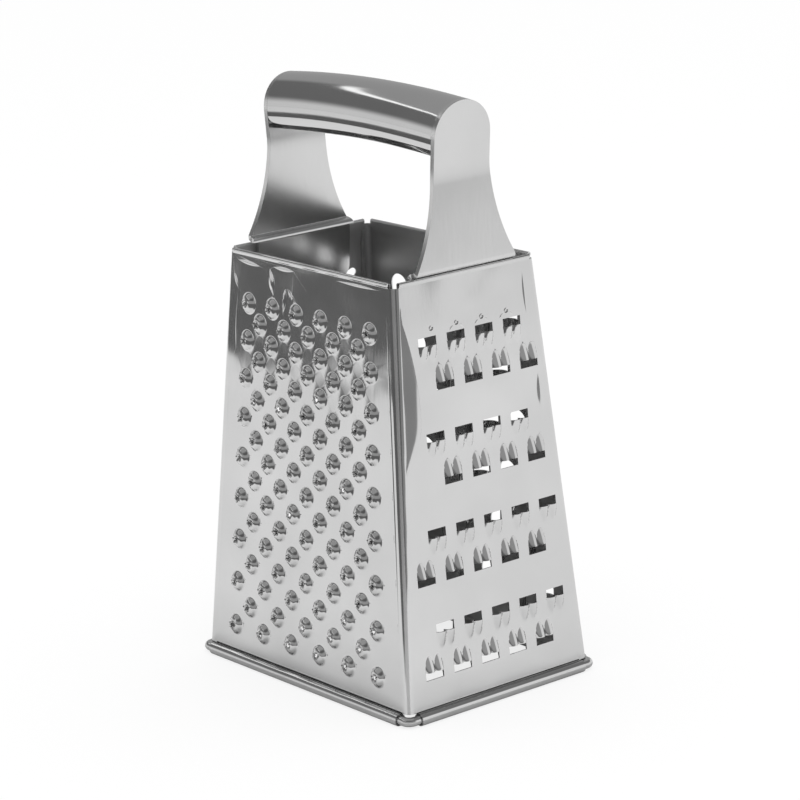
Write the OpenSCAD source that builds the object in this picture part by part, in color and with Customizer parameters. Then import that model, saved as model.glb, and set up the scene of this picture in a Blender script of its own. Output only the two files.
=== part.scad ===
// Stainless box grater: four pressed walls on a wired base, with a hollow grip on two legs.
// X runs along the handle, Y through the wide walls, Z up from the surface it stands on.

/* [Body] */
// Width over the walls at their foot, along the handle
foot_w = 112; // [104:1:124]
// Depth over the walls at their foot
foot_d = 82; // [76:1:92]
// Width over the walls at the rim
rim_w = 89; // [84:1:98]
// Depth over the walls at the rim
rim_d = 62.5; // [60:0.5:70]
// Height from the foot of the walls to the rim
wall_h = 145; // [142:1:156]
// Thickness of the wall sheet
sheet_t = 0.5; // [0.4:0.05:0.6]
// Outside radius of the bends at the four corners
corner_r = 2.5; // [2.2:0.1:3]
// Width of the flange that laps behind a narrow wall, from the corner
lap_w = 4.4; // [4:0.1:4.8]

/* [Rim] */
// Height of the hem that is folded in at the rim
hem_h = 4; // [3.2:0.1:5]
// Diameter of the rounded bead on top of the hem
bead_d = 1.6; // [1.4:0.1:1.8]
// Distance from each corner to the end of a hem
hem_end = 1.5; // [1.3:0.1:2.4]
// Drop of the corner bends below the rim
corner_drop = 1.8; // [1.2:0.1:2.6]

/* [Base] */
// Outside diameter of the rolled edge
roll_d = 4.5; // [4.2:0.1:5]
// Distance the rolled edge stands out from the foot of a wall
roll_out = 3; // [2.8:0.1:3.4]
// Distance from each corner to the end of a rolled edge
roll_end = 3.8; // [3.4:0.2:5.4]
// Depth of the flat that the rolled edge stands on
roll_flat = 0.2; // [0.1:0.05:0.3]
// Gap between the rolled edge and the wire inside it
wire_clear = 0.15; // [0.1:0.05:0.25]
// Bend radius of the wire at the corners, on its centre line
wire_bend = 2.4; // [2:0.2:3.6]

/* [Rasp wall] */
// Diameter of a rasp dome at the sheet
dome_d = 8; // [7:0.1:8.4]
// Height of a rasp dome above the sheet
dome_proud = 1.9; // [1.5:0.1:2.3]
// Diameter of the burst collar on a dome
burr_d = 2.8; // [2.4:0.1:3.2]
// Height of the burst collar above the sheet
burr_proud = 2.5; // [2.4:0.1:2.9]
// Distance from the rim to the top row of domes
rasp_drop = 18.4; // [17:0.1:20]
// Distance between the first two full rows
rasp_row = 13.3; // [12.5:0.1:13.5]
// Growth of the row distance from one row to the next
rasp_row_growth = 0.39; // [0.3:0.01:0.4]
// Distance between domes in the top row
rasp_pitch_top = 13.2; // [12:0.1:13.6]
// Distance between domes in the lowest row
rasp_pitch_foot = 15.9; // [14.5:0.1:16.5]

/* [Medium wall] */
// Width of a medium tooth
tooth_w = 7.8; // [7:0.1:8.2]
// Height of the slot at a medium tooth
tooth_slot = 2.8; // [2.4:0.1:3]
// Length of the two scoops below a slot
tooth_len = 5.6; // [5:0.1:6]
// Height of a scoop's lip above the sheet
tooth_proud = 1.4; // [1.2:0.1:1.6]
// Distance between teeth in a row
tooth_pitch = 12.5; // [12:0.1:12.6]
// Distance from the rim to the top of the first slots
tooth_drop = 20; // [19.8:0.1:21]
// Distance from one double row to the next
tooth_band = 32.4; // [31:0.1:32.8]
// Height of a double row over its two lines of slots
tooth_span = 18.5; // [18:0.1:19]

/* [Coarse wall] */
// Width of a coarse tooth
coarse_w = 8.8; // [8.4:0.1:9.2]
// Height of a coarse opening, from its lip to the top of its arch
coarse_open = 7.8; // [7.4:0.1:8]
// Length of the scoop below a coarse opening
coarse_len = 12; // [11:0.5:12]
// Height of a coarse lip above the sheet
coarse_proud = 2.3; // [2:0.1:2.6]
// Distance between coarse teeth in a row
coarse_pitch = 14.7; // [13.5:0.1:15]
// Distance from one coarse row to the next
coarse_row = 20.1; // [19.8:0.1:20.4]
// Distance from the rim to the first row of coarse lips
coarse_drop = 26.4; // [25:0.1:27]

/* [Slicer wall] */
// Width of a slicing slot from tip to tip
slicer_w = 51; // [46:1:52]
// Height of a slicing slot
slicer_slot = 3.6; // [3:0.1:3.8]
// Radius of the upward curve of a slicing edge
smile_r = 60; // [56:1:70]
// Height of the slicing lip above the sheet
slicer_proud = 2.2; // [1.8:0.1:2.6]
// Length of the bulge below a slicing lip
slicer_len = 9; // [8:0.5:10]
// Distance from one slicing edge to the next
slicer_row = 41; // [36:1:42]
// Distance from the rim to the first slicing edge, at its middle
slicer_drop = 26; // [25.5:0.5:28]

/* [Handle] */
// Thickness of the leg plates
leg_t = 1.8; // [1.5:0.1:2]
// Width of a leg where it stands over the rim
leg_foot_w = 45; // [40:1:46]
// Diameter of the leg's round head, which is the width of the grip
head_d = 24.4; // [22:0.2:26]
// Radius of the hollow sides of a leg
leg_flare_r = 68; // [60:1:80]
// Straight length of a leg above its foot
leg_len = 27.5; // [24:0.5:32]
// Distance from the soft bend of a leg to the middle of its head
head_rise = 8.9; // [8.6:0.1:12]
// Angle that a leg leans in
leg_lean = 2.6; // [2:0.1:3.4]
// Angle that a leg's head leans out
head_lean = 5; // [4:0.1:6]
// Depth of the tab inside the body, from the rim
tab_drop = 19; // [18.8:0.1:19.4]
// Width of the tab inside the body
tab_w = 41; // [38:0.5:42]
// Wall of the hollow grip
grip_t = 0.8; // [0.6:0.1:1]
// Height of the grip's section below its middle
grip_belly = 7.4; // [7:0.1:8]
// Width of the strip that closes the grip's underside
strip_w = 12.6; // [11:0.2:13.2]

/* [Hidden] */
$fn = 64;

// One overrun serves every cut.
over = 1;

// Lean of each pair of walls, and their length along the slope
wide_lean = atan((foot_d - rim_d) / 2 / wall_h);
narrow_lean = atan((foot_w - rim_w) / 2 / wall_h);
wide_len = wall_h / cos(wide_lean);
narrow_len = wall_h / cos(narrow_lean);
// Angle between a side edge and the middle line of its wall
wide_taper = atan((foot_w - rim_w) / 2 / wide_len);
narrow_taper = atan((foot_d - rim_d) / 2 / narrow_len);
// Turn of a corner bend, and the sheet it takes from each wall
bend_turn = acos(sin(wide_lean) * sin(narrow_lean));
bend_run = corner_r * tan(bend_turn / 2);
// Length of the flange hidden in the bend, and its distance from the foot and the hem
lap_hook = 1;
lap_gap = 1;

// Rolled edge and wire
roll_r = roll_d / 2;
roll_axis = roll_out - roll_r;
roll_z = roll_r - roll_flat;
roll_slit = 0.4;
wire_d = roll_d - 2 * sheet_t - 2 * wire_clear;
foot_z = roll_z + sqrt(pow(roll_r, 2) - pow(roll_axis, 2));
// Length of wall sheet that runs on into the roll
foot_tuck = sheet_t * 0.9;

// Hem
bead_r = bead_d / 2;
bead_axis = bead_r - 2 * sheet_t;

// Rasp rows
rasp_rows = 9;
rasp_columns = 6;
star_points = 4;
star_tip_r = burr_d * 0.68;
star_root_r = burr_d * 0.25;

// Medium teeth: counts and sideways shifts of the two lines of each double row
band_counts = [4, 4, 5, 5];
upper_shift_shares = [0, 0, 1 / 4, 1 / 4];
lower_shift_shares = [1 / 2, 1 / 2, -1 / 4, -1 / 4];
// Gap between the two scoops of a tooth
scoop_gap = 0.15;

// Coarse teeth in each row
coarse_counts = [5, 4, 5, 4, 5, 6];

// Slicer
slicer_count = 3;
slicer_disc_r = slicer_w / 2 + 2 * sheet_t;
// Extra width of the round ends of a slot
slot_relief = 0.1;

// Spot welds between a tab and its wall
weld_count = 4;
weld_pitch = 11.1;
weld_drop = 17.3;
weld_d = 3;
weld_mark_r = 1.2;
weld_mark_depth = 0.25;

// Side view of a leg, as states of [out from the wall, up the wall, heading]
seat_gap = 0.1;
joggle_r = 1.1;
joggle_turn = 80;
joggle_run = 1.1;
waist_r = 50;
tab_corner_r = 4;
tab_axis = -(2 * sheet_t + seat_gap + leg_t / 2);
at_tab = [tab_axis, narrow_len - tab_drop, 90];
at_rim = run(at_tab, tab_drop - 2 * seat_gap);
at_shelf = swing(at_rim, joggle_r, -joggle_turn);
at_lip = run(at_shelf, joggle_run);
at_foot = swing(at_lip, joggle_r, joggle_turn + leg_lean - narrow_lean);
at_waist = run(at_foot, leg_len);
at_head = swing(at_waist, waist_r, -leg_lean - head_lean);
at_top = run(at_head, head_rise + head_d);
joggle_steps = 10;
waist_steps = 8;
leg_path = concat([at_tab],
                  turning(at_rim, joggle_r, -joggle_turn, joggle_steps),
                  turning(at_lip, joggle_r, joggle_turn + leg_lean - narrow_lean, joggle_steps),
                  turning(at_waist, waist_r, -leg_lean - head_lean, waist_steps),
                  [at_top]);
head_r = head_d / 2;
// Depth that the hollow sides cut into the straight width of the head
waist_tuck = 0.04;
// Middle of the head on the leg's inner face, and the same point as [x, z] of the part
head_in = beside(run(at_head, head_rise), 1);
grip_end = [foot_w / 2 + head_in[0] * cos(narrow_lean) - head_in[1] * sin(narrow_lean),
            foot_z + head_in[1] * cos(narrow_lean) + head_in[0] * sin(narrow_lean)];
// Arc that the grip follows from leg to leg
grip_arc_r = grip_end[0] / sin(head_lean);
grip_arc_z = grip_end[1] - grip_arc_r * cos(head_lean);
grip_side = 1.5;
grip_corner_r = grip_belly - grip_side;

steel = "silver";
satin = "lightgray";
wire_grey = "gray";

function run(s, length) = [s[0] + length * cos(s[2]), s[1] + length * sin(s[2]), s[2]];
// Turns to the left where the turn is positive
function swing(s, r, turn) = [
    s[0] + sign(turn) * r * (sin(s[2] + turn) - sin(s[2])),
    s[1] + sign(turn) * r * (cos(s[2]) - cos(s[2] + turn)),
    s[2] + turn];
function turning(s, r, turn, steps) = [for (k = [0 : steps]) swing(s, r, turn * k / steps)];
// Point on the leg's face, on either side of its middle line
function beside(s, side) = [s[0] - side * leg_t / 2 * sin(s[2]), s[1] + side * leg_t / 2 * cos(s[2])];

// Places in a wall's own frame: across it, up its slope and out of its face
module on_front() {
    translate([0, -foot_d / 2, foot_z])
        rotate([90 - wide_lean, 0, 0])
            children();
}

module on_back() {
    rotate([0, 0, 180]) on_front() children();
}

module on_right() {
    rotate([0, 0, 90])
        translate([0, -foot_w / 2, foot_z])
            rotate([90 - narrow_lean, 0, 0])
                children();
}

module on_left() {
    rotate([0, 0, 180]) on_right() children();
}

// Turns a [up, out] profile into a bar across a wall
module across(half) {
    translate([-half, 0, 0])
        rotate([90, 0, 90])
            linear_extrude(height = 2 * half)
                children();
}

module plate(half_foot, length, taper) {
    inset = bend_run / cos(taper);
    top = length - bead_r;
    translate([0, 0, -sheet_t])
        linear_extrude(height = sheet_t)
            polygon([
                [-half_foot + inset - foot_tuck * tan(taper), -foot_tuck],
                [half_foot - inset + foot_tuck * tan(taper), -foot_tuck],
                [half_foot - inset - top * tan(taper), top],
                [-half_foot + inset + top * tan(taper), top]]);
}

module hem(half, length) {
    across(half) {
        translate([length - bead_r, bead_axis]) circle(r = bead_r);
        translate([length - hem_h, -2 * sheet_t]) square([hem_h - bead_r, sheet_t]);
    }
}

// Sheet curled round the wire, seen as [out, z]
module roll_section() {
    difference() {
        translate([roll_axis, roll_z]) circle(r = roll_r);
        translate([roll_axis, roll_z]) circle(r = roll_r - sheet_t);
        translate([0, roll_z]) square([roll_slit, roll_r + over]);
        translate([roll_axis - roll_r, -roll_r]) square([roll_d, roll_r]);
    }
}

module roll(half_side, distance) {
    translate([0, -distance, 0])
        rotate([90, 0, -90])
            linear_extrude(height = 2 * (half_side - roll_end), center = true)
                roll_section();
}

// Corner bend and the flange behind the narrow wall, at the wall's right-hand edge
module corner_fold() {
    fold_len = wide_len / cos(wide_taper);
    translate([foot_w / 2, 0, 0])
        rotate([0, 0, wide_taper])
            translate([-bend_run, -foot_tuck, -corner_r])
                rotate([-90, 0, 0])
                    rotate([0, 0, -90]) {
                        rotate_extrude(angle = bend_turn)
                            translate([corner_r - sheet_t, 0])
                                square([sheet_t, fold_len - corner_drop + foot_tuck]);
                        rotate([0, 0, bend_turn])
                            translate([corner_r - 2 * sheet_t, -lap_hook, lap_gap + foot_tuck])
                                cube([sheet_t, lap_hook + lap_w - bend_run,
                                      fold_len - hem_h - 2 * lap_gap]);
                    }
}

module wide_sheet() {
    plate(foot_w / 2, wide_len, wide_taper);
    hem(rim_w / 2 - hem_end, wide_len);
    corner_fold();
    mirror([1, 0, 0]) corner_fold();
}

module narrow_sheet() {
    plate(foot_d / 2, narrow_len, narrow_taper);
    hem(rim_d / 2 - hem_end, narrow_len);
}

// Rasp dome, with a burst collar that a star cuts into prongs
module dome_body() {
    ball_r = (pow(dome_d / 2, 2) + pow(dome_proud, 2)) / (2 * dome_proud);
    intersection() {
        translate([0, 0, dome_proud - ball_r]) sphere(r = ball_r);
        translate([-dome_d, -dome_d, -sheet_t / 2]) cube([2 * dome_d, 2 * dome_d, 2 * dome_d]);
    }
    translate([0, 0, dome_proud - sheet_t]) cylinder(d = burr_d, h = burr_proud - dome_proud + sheet_t);
}

module dome_hollow() {
    ball_r = (pow(dome_d / 2, 2) + pow(dome_proud, 2)) / (2 * dome_proud);
    translate([0, 0, dome_proud - ball_r]) sphere(r = ball_r - sheet_t);
    translate([0, 0, -sheet_t])
        linear_extrude(height = burr_proud + sheet_t + over)
            polygon([for (k = [0 : 2 * star_points - 1])
                let (r = k % 2 == 0 ? star_tip_r : star_root_r, a = 180 * k / star_points)
                [r * cos(a), r * sin(a)]]);
}

function rasp_down(k) = rasp_drop + k * rasp_row + rasp_row_growth * k * (k - 1) / 2;
function rasp_pitch(down) = rasp_pitch_top
    + (rasp_pitch_foot - rasp_pitch_top) * (down - rasp_drop) / (rasp_down(rasp_rows - 1) - rasp_drop);

// Full rows, and rows with one dome fewer half-way between them
module each_dome() {
    for (k = [0 : 0.5 : rasp_rows - 1]) {
        full = k == floor(k);
        down = full ? rasp_down(k) : (rasp_down(floor(k)) + rasp_down(ceil(k))) / 2;
        count = full ? rasp_columns : rasp_columns - 1;
        for (c = [0 : count - 1])
            translate([(c - (count - 1) / 2) * rasp_pitch(down), wide_len - down, 0])
                children();
    }
}

// Scoop that slopes down from a lip: a tilted round bar, cut off at the lip
module scoop_bar(w, proud, length, inset) {
    bar_r = (pow(w / 2, 2) + pow(proud, 2)) / (2 * proud);
    tilt = atan(proud / length);
    translate([0, 0, proud - bar_r])
        rotate([90 + tilt, 0, 0])
            translate([0, 0, -length])
                cylinder(r = bar_r - inset, h = 3 * length);
}

module scoop_body(w, proud, length) {
    intersection() {
        scoop_bar(w, proud, length, 0);
        translate([-w, -2 * length, -sheet_t / 2]) cube([2 * w, 2 * length, 2 * proud]);
    }
}

module scoop_hollow(w, proud, length, slot) {
    intersection() {
        scoop_bar(w, proud, length, sheet_t);
        translate([-w, -2 * length, -sheet_t - over])
            cube([2 * w, 2 * length + slot / 2, 2 * proud + over]);
    }
}

module tooth_body() {
    w = tooth_w / 2 - scoop_gap;
    for (s = [-1, 1])
        translate([s * tooth_w / 4, 0, 0]) scoop_body(w, tooth_proud, tooth_len);
}

module tooth_hollow() {
    w = tooth_w / 2 - scoop_gap;
    for (s = [-1, 1])
        translate([s * tooth_w / 4, 0, 0]) scoop_hollow(w, tooth_proud, tooth_len, tooth_slot);
    translate([-tooth_w / 2, 0, -sheet_t - over])
        cube([tooth_w, tooth_slot, 2 * tooth_proud + sheet_t + over]);
}

// Each band has a line of slots with scoops below, and its mirror image under it
module each_tooth() {
    for (b = [0 : len(band_counts) - 1]) {
        top = narrow_len - tooth_drop - b * tooth_band;
        for (c = [0 : band_counts[b] - 1]) {
            middle = c - (band_counts[b] - 1) / 2;
            translate([(middle + upper_shift_shares[b]) * tooth_pitch, top - tooth_slot, 0])
                children();
            translate([(middle + lower_shift_shares[b]) * tooth_pitch, top - tooth_span + tooth_slot, 0])
                mirror([0, 1, 0])
                    children();
        }
    }
}

module coarse_hollow() {
    arch_z = coarse_open - coarse_w / 2;
    scoop_hollow(coarse_w, coarse_proud, coarse_len, arch_z);
    translate([0, 0, -sheet_t - over])
        linear_extrude(height = sheet_t + 2 * over + coarse_proud) {
            translate([0, arch_z]) circle(d = coarse_w);
            translate([-coarse_w / 2, 0]) square([coarse_w, arch_z]);
        }
}

module each_coarse() {
    for (k = [0 : len(coarse_counts) - 1])
        for (c = [0 : coarse_counts[k] - 1])
            translate([(c - (coarse_counts[k] - 1) / 2) * coarse_pitch,
                       wide_len - coarse_drop - k * coarse_row, 0])
                children();
}

// Bulge below a slicing edge: the foot of a wide shallow ball, cut off along the smile of the slot
module slicer_bulge(inset, low, edge_r) {
    lip_r = slicer_disc_r - slicer_len;
    ball_r = (pow(slicer_disc_r, 2) - pow(lip_r, 2)) / (2 * slicer_proud);
    reach = slicer_disc_r + over;
    difference() {
        intersection() {
            translate([0, lip_r, -sqrt(pow(ball_r, 2) - pow(slicer_disc_r, 2))]) sphere(r = ball_r - inset);
            translate([-reach, -reach, low]) cube([2 * reach, 2 * reach, 2 * slicer_proud - low]);
        }
        translate([0, smile_r, low - over])
            cylinder(r = edge_r, h = 2 * slicer_proud - low + 2 * over, $fn = 180);
    }
}

module slicer_body() {
    slicer_bulge(0, -sheet_t / 2, smile_r);
}

module slicer_hollow() {
    mid_r = smile_r - slicer_slot / 2;
    end_turn = asin((slicer_w - slicer_slot) / 2 / mid_r);
    wedge = 2 * smile_r;
    slicer_bulge(sheet_t, -sheet_t - over, mid_r);
    translate([0, 0, -sheet_t - over])
        linear_extrude(height = sheet_t + 2 * over + slicer_proud)
            translate([0, smile_r]) {
                difference() {
                    intersection() {
                        circle(r = smile_r, $fn = 180);
                        polygon([[0, 0], [-wedge * tan(end_turn), -wedge], [wedge * tan(end_turn), -wedge]]);
                    }
                    circle(r = smile_r - slicer_slot, $fn = 180);
                }
                for (s = [-1, 1])
                    rotate(s * end_turn) translate([0, -mid_r]) circle(d = slicer_slot + slot_relief);
            }
}

module each_slicer() {
    for (k = [0 : slicer_count - 1])
        translate([0, narrow_len - slicer_drop - k * slicer_row, 0])
            children();
}

module each_weld() {
    for (k = [0 : weld_count - 1])
        translate([(k - (weld_count - 1) / 2) * weld_pitch, narrow_len - weld_drop, 0])
            children();
}

module weld_mark() {
    translate([0, 0, weld_mark_r - weld_mark_depth])
        rotate([90, 0, 0])
            sphere(r = weld_mark_r);
}

module rasp_wall() {
    color(steel) {
        on_front()
            difference() {
                union() {
                    wide_sheet();
                    each_dome() dome_body();
                }
                each_dome() dome_hollow();
            }
        roll(foot_w / 2, foot_d / 2);
    }
}

module coarse_wall() {
    color(steel) {
        on_back()
            difference() {
                union() {
                    wide_sheet();
                    each_coarse() scoop_body(coarse_w, coarse_proud, coarse_len);
                }
                each_coarse() coarse_hollow();
            }
        rotate([0, 0, 180]) roll(foot_w / 2, foot_d / 2);
    }
}

module medium_wall() {
    color(steel) {
        on_right()
            difference() {
                union() {
                    narrow_sheet();
                    each_tooth() tooth_body();
                }
                each_tooth() tooth_hollow();
                each_weld() weld_mark();
            }
        rotate([0, 0, 90]) roll(foot_d / 2, foot_w / 2);
    }
}

module slicer_wall() {
    color(steel) {
        on_left()
            difference() {
                union() {
                    narrow_sheet();
                    each_slicer() slicer_body();
                }
                each_slicer() slicer_hollow();
                each_weld() weld_mark();
            }
        rotate([0, 0, -90]) roll(foot_d / 2, foot_w / 2);
    }
}

// One side of the wire ring and the bend at its end
module wire_side(half_side, distance) {
    translate([0, -distance, roll_z]) {
        rotate([0, 90, 0]) cylinder(d = wire_d, h = 2 * (half_side - wire_bend), center = true);
        translate([half_side - wire_bend, wire_bend, 0])
            rotate([0, 0, -90])
                rotate_extrude(angle = 90)
                    translate([wire_bend, 0]) circle(d = wire_d);
    }
}

module base_wire() {
    half_x = foot_w / 2 + roll_axis;
    half_y = foot_d / 2 + roll_axis;
    color(wire_grey)
        for (s = [0, 180]) {
            rotate([0, 0, s]) wire_side(half_x, half_y);
            rotate([0, 0, s + 90]) wire_side(half_y, half_x);
        }
}

// Leg from the side, drawn as [out, up]
module leg_profile() {
    polygon(concat([for (s = leg_path) beside(s, 1)],
                   [for (k = [len(leg_path) - 1 : -1 : 0]) beside(leg_path[k], -1)]));
}

// Leg from the front, drawn as [across, up]: tab, flared foot, waist and round head
module leg_outline() {
    foot_up = narrow_len + seat_gap;
    tab_up = narrow_len - tab_drop;
    head_up = head_in[1];
    translate([0, head_up]) circle(r = head_r);
    translate([-head_r, foot_up]) square([head_d, head_up - foot_up]);
    difference() {
        translate([-leg_foot_w / 2, foot_up]) square([leg_foot_w, at_head[1] - foot_up]);
        for (s = [-1, 1])
            translate([s * (head_r - waist_tuck + leg_flare_r), at_head[1]])
                circle(r = leg_flare_r, $fn = 180);
    }
    translate([-tab_w / 2, tab_up + tab_corner_r]) square([tab_w, tab_drop - tab_corner_r + seat_gap]);
    translate([-tab_w / 2 + tab_corner_r, tab_up]) square([tab_w - 2 * tab_corner_r, tab_corner_r]);
    for (s = [-1, 1])
        translate([s * (tab_w / 2 - tab_corner_r), tab_up + tab_corner_r]) circle(r = tab_corner_r);
}

module leg() {
    reach = 4 * leg_t;
    intersection() {
        rotate([0, -90, 0])
            linear_extrude(height = leg_foot_w + over, center = true)
                leg_profile();
        translate([0, 0, -reach]) linear_extrude(height = 2 * reach) leg_outline();
    }
    each_weld()
        translate([0, 0, -2 * sheet_t - seat_gap]) cylinder(d = weld_d, h = sheet_t + seat_gap);
}

module handle_leg_right() {
    color(satin) on_right() leg();
}

module handle_leg_left() {
    color(satin) on_left() leg();
}

// Section of the grip, drawn as [up, across] from its middle
module grip_section(inset) {
    flat = head_r - grip_corner_r;
    intersection() {
        circle(r = head_r - inset, $fn = 180);
        translate([0, -head_r]) square([head_r, head_d]);
    }
    translate([-grip_side, -head_r + inset]) square([grip_side, head_d - 2 * inset]);
    translate([-grip_belly + inset, -flat]) square([grip_belly - inset, 2 * flat]);
    for (s = [-1, 1])
        translate([-grip_side, s * flat]) circle(r = grip_corner_r - inset);
}

module strip_section() {
    translate([-grip_belly, -strip_w / 2]) square([grip_t, strip_w]);
}

// Sweeps a grip section along the arc between the heads
module along_grip() {
    translate([0, 0, grip_arc_z])
        rotate([0, -90, -90])
            rotate([0, 0, -head_lean])
                rotate_extrude(angle = 2 * head_lean)
                    translate([grip_arc_r, 0])
                        children();
}

module grip_shell() {
    color(steel)
        along_grip()
            difference() {
                grip_section(0);
                grip_section(grip_t);
                strip_section();
            }
}

module grip_strip() {
    color(steel) along_grip() strip_section();
}

rasp_wall();
coarse_wall();
medium_wall();
slicer_wall();
base_wire();
handle_leg_right();
handle_leg_left();
grip_shell();
grip_strip();
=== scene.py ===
import logging
import math
import random
from abc import ABC, abstractmethod
from dataclasses import dataclass
from enum import Enum

import bmesh
import bpy
from mathutils import Matrix, Vector


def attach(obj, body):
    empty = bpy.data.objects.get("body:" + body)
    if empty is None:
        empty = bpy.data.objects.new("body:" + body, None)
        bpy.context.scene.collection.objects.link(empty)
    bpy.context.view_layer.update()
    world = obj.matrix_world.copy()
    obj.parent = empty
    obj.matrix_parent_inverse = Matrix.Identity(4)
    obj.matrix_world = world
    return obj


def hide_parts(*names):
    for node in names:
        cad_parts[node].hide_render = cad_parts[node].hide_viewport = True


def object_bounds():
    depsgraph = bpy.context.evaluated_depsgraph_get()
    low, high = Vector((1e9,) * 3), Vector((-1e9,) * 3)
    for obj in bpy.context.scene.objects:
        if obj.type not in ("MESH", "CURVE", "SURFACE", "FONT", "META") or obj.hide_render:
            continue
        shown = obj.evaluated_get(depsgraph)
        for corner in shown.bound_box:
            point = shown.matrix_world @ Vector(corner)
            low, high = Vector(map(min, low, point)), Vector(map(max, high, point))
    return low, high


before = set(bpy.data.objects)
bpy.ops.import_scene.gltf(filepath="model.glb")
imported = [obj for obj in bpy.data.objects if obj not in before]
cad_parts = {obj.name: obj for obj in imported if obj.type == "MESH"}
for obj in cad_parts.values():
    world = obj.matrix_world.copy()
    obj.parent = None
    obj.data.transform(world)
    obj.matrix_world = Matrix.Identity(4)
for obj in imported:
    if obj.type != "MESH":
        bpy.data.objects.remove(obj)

MM = 0.001
SEED = 7
MERGE = 0.0005
FLAT = 0.0001
SQUARE_EDGE = math.radians(60.0)
SHEET_SMOOTH = 24.0
PLATE_SMOOTH = 40.0
WIRE_SMOOTH = 60.0
LOG = logging.getLogger("box_grater")
CAD_LOW, CAD_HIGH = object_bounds()

BMesh = bmesh.types.BMesh
Vert = bmesh.types.BMVert
Edge = bmesh.types.BMEdge
Material = bpy.types.Material
Socket = bpy.types.NodeSocket
Pattern = Socket | float
Pair = tuple[float, float]
Triple = tuple[float, float, float]


class Side(Enum):
    """The four walls, each with the turn about Z that brings it from the front to its place."""

    FRONT = 0
    RIGHT = 90
    BACK = 180
    LEFT = 270

    @property
    def turn(self) -> Matrix:
        """The turn from the front to this side."""
        return Matrix.Rotation(math.radians(self.value), 4, "Z")


class Grain(Enum):
    """Direction in which a surface was drawn or rolled, as the noise stretch along X, Y and Z."""

    UPRIGHT = (1.0, 1.0, 0.05)
    ALONG_GRIP = (0.03, 1.0, 1.0)
    NONE = (1.0, 1.0, 1.0)


@dataclass(frozen=True)
class Band:
    """A step in brightness: where it starts and ends, and the value or pattern past it."""

    start: float
    end: float
    value: Pattern


@dataclass
class Shader:
    """A node tree that is built up step by step."""

    tree: bpy.types.NodeTree

    def node(self, kind: str, inputs: dict, **options: str) -> bpy.types.Node:
        """Adds a node.

        Args:
            kind: Its type, without the leading ShaderNode.
            inputs: What each input is linked to or set to.
            options: Its options, such as its operation.

        Returns:
            The node.
        """
        made = self.tree.nodes.new("ShaderNode" + kind)
        for option, choice in options.items():
            setattr(made, option, choice)
        for name, value in inputs.items():
            if isinstance(value, Socket):
                self.tree.links.new(value, made.inputs[name])
            else:
                made.inputs[name].default_value = value
        return made

    def noise(self, place: Socket, grain: Grain, scale: float, detail: float) -> Socket:
        """Adds a noise from 0 to 1.

        Args:
            place: The coordinates it reads.
            grain: How it is stretched.
            scale: Features per metre.
            detail: Octaves.

        Returns:
            The noise.
        """
        spot = self.node("Mapping", {"Vector": place, "Scale": grain.value}).outputs["Vector"]
        return self.node("TexNoise", {"Vector": spot, "Scale": scale, "Detail": detail}).outputs["Fac"]

    def ramp(self, value: Socket, source: Pair, target: Pair, kind: str = "LINEAR") -> Socket:
        """Maps a value from one range to another.

        Args:
            value: The value to map.
            source: Lowest and highest value that count.
            target: What they become.
            kind: Course of the change between them.

        Returns:
            The mapped value.
        """
        limits = {"From Min": source[0], "From Max": source[1], "To Min": target[0], "To Max": target[1]}
        return self.node("MapRange", {"Value": value, **limits}, interpolation_type=kind).outputs["Result"]

    def mix(self, share: Pattern, one: Pattern, other: Pattern) -> Socket:
        """Mixes two values by the share of the second."""
        return self.node("Mix", {"Factor": share, "A": one, "B": other}).outputs["Result"]

    def calculate(self, operation: str, one: Pattern, other: Pattern) -> Socket:
        """Combines two values."""
        return self.node("Math", {0: one, 1: other}, operation=operation).outputs[0]

    def along(self, place: Socket, direction: Vector | Triple) -> Socket:
        """Distance of a place along a direction."""
        return self.node("VectorMath", {0: place, 1: direction}, operation="DOT_PRODUCT").outputs["Value"]

    def folded(self, place: Socket) -> Socket:
        """The place mirrored to where X, Y and Z are positive."""
        return self.node("VectorMath", {0: place}, operation="ABSOLUTE").outputs["Vector"]

    def bump(self, height: Socket, depth: float, below: Socket | None = None) -> Socket:
        """Adds relief.

        Args:
            height: The relief as a value from 0 to 1.
            depth: Height of the relief in metres.
            below: Relief that this one lies on.

        Returns:
            The bumped normal.
        """
        inputs = {"Height": height, "Strength": 1.0, "Distance": depth}
        if below is not None:
            inputs["Normal"] = below
        return self.node("Bump", inputs).outputs["Normal"]

    def steps(self, value: Socket, first: Pattern, bands: list[Band]) -> Pattern:
        """Builds a brightness that changes in smooth steps.

        Args:
            value: What the steps run along.
            first: Brightness before the first step.
            bands: The steps, in order.

        Returns:
            The brightness.
        """
        result = first
        for band in bands:
            past = self.ramp(value, (band.start, band.end), (0.0, 1.0), "SMOOTHSTEP")
            result = self.mix(past, result, band.value)
        return result

    def for_reflections(self, plain: float, pattern: Socket) -> Socket:
        """Chooses a plain value for direct view and diffuse light, and a pattern for reflections."""
        return self.mix(self.node("LightPath", {}).outputs["Is Glossy Ray"], plain, pattern)


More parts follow.
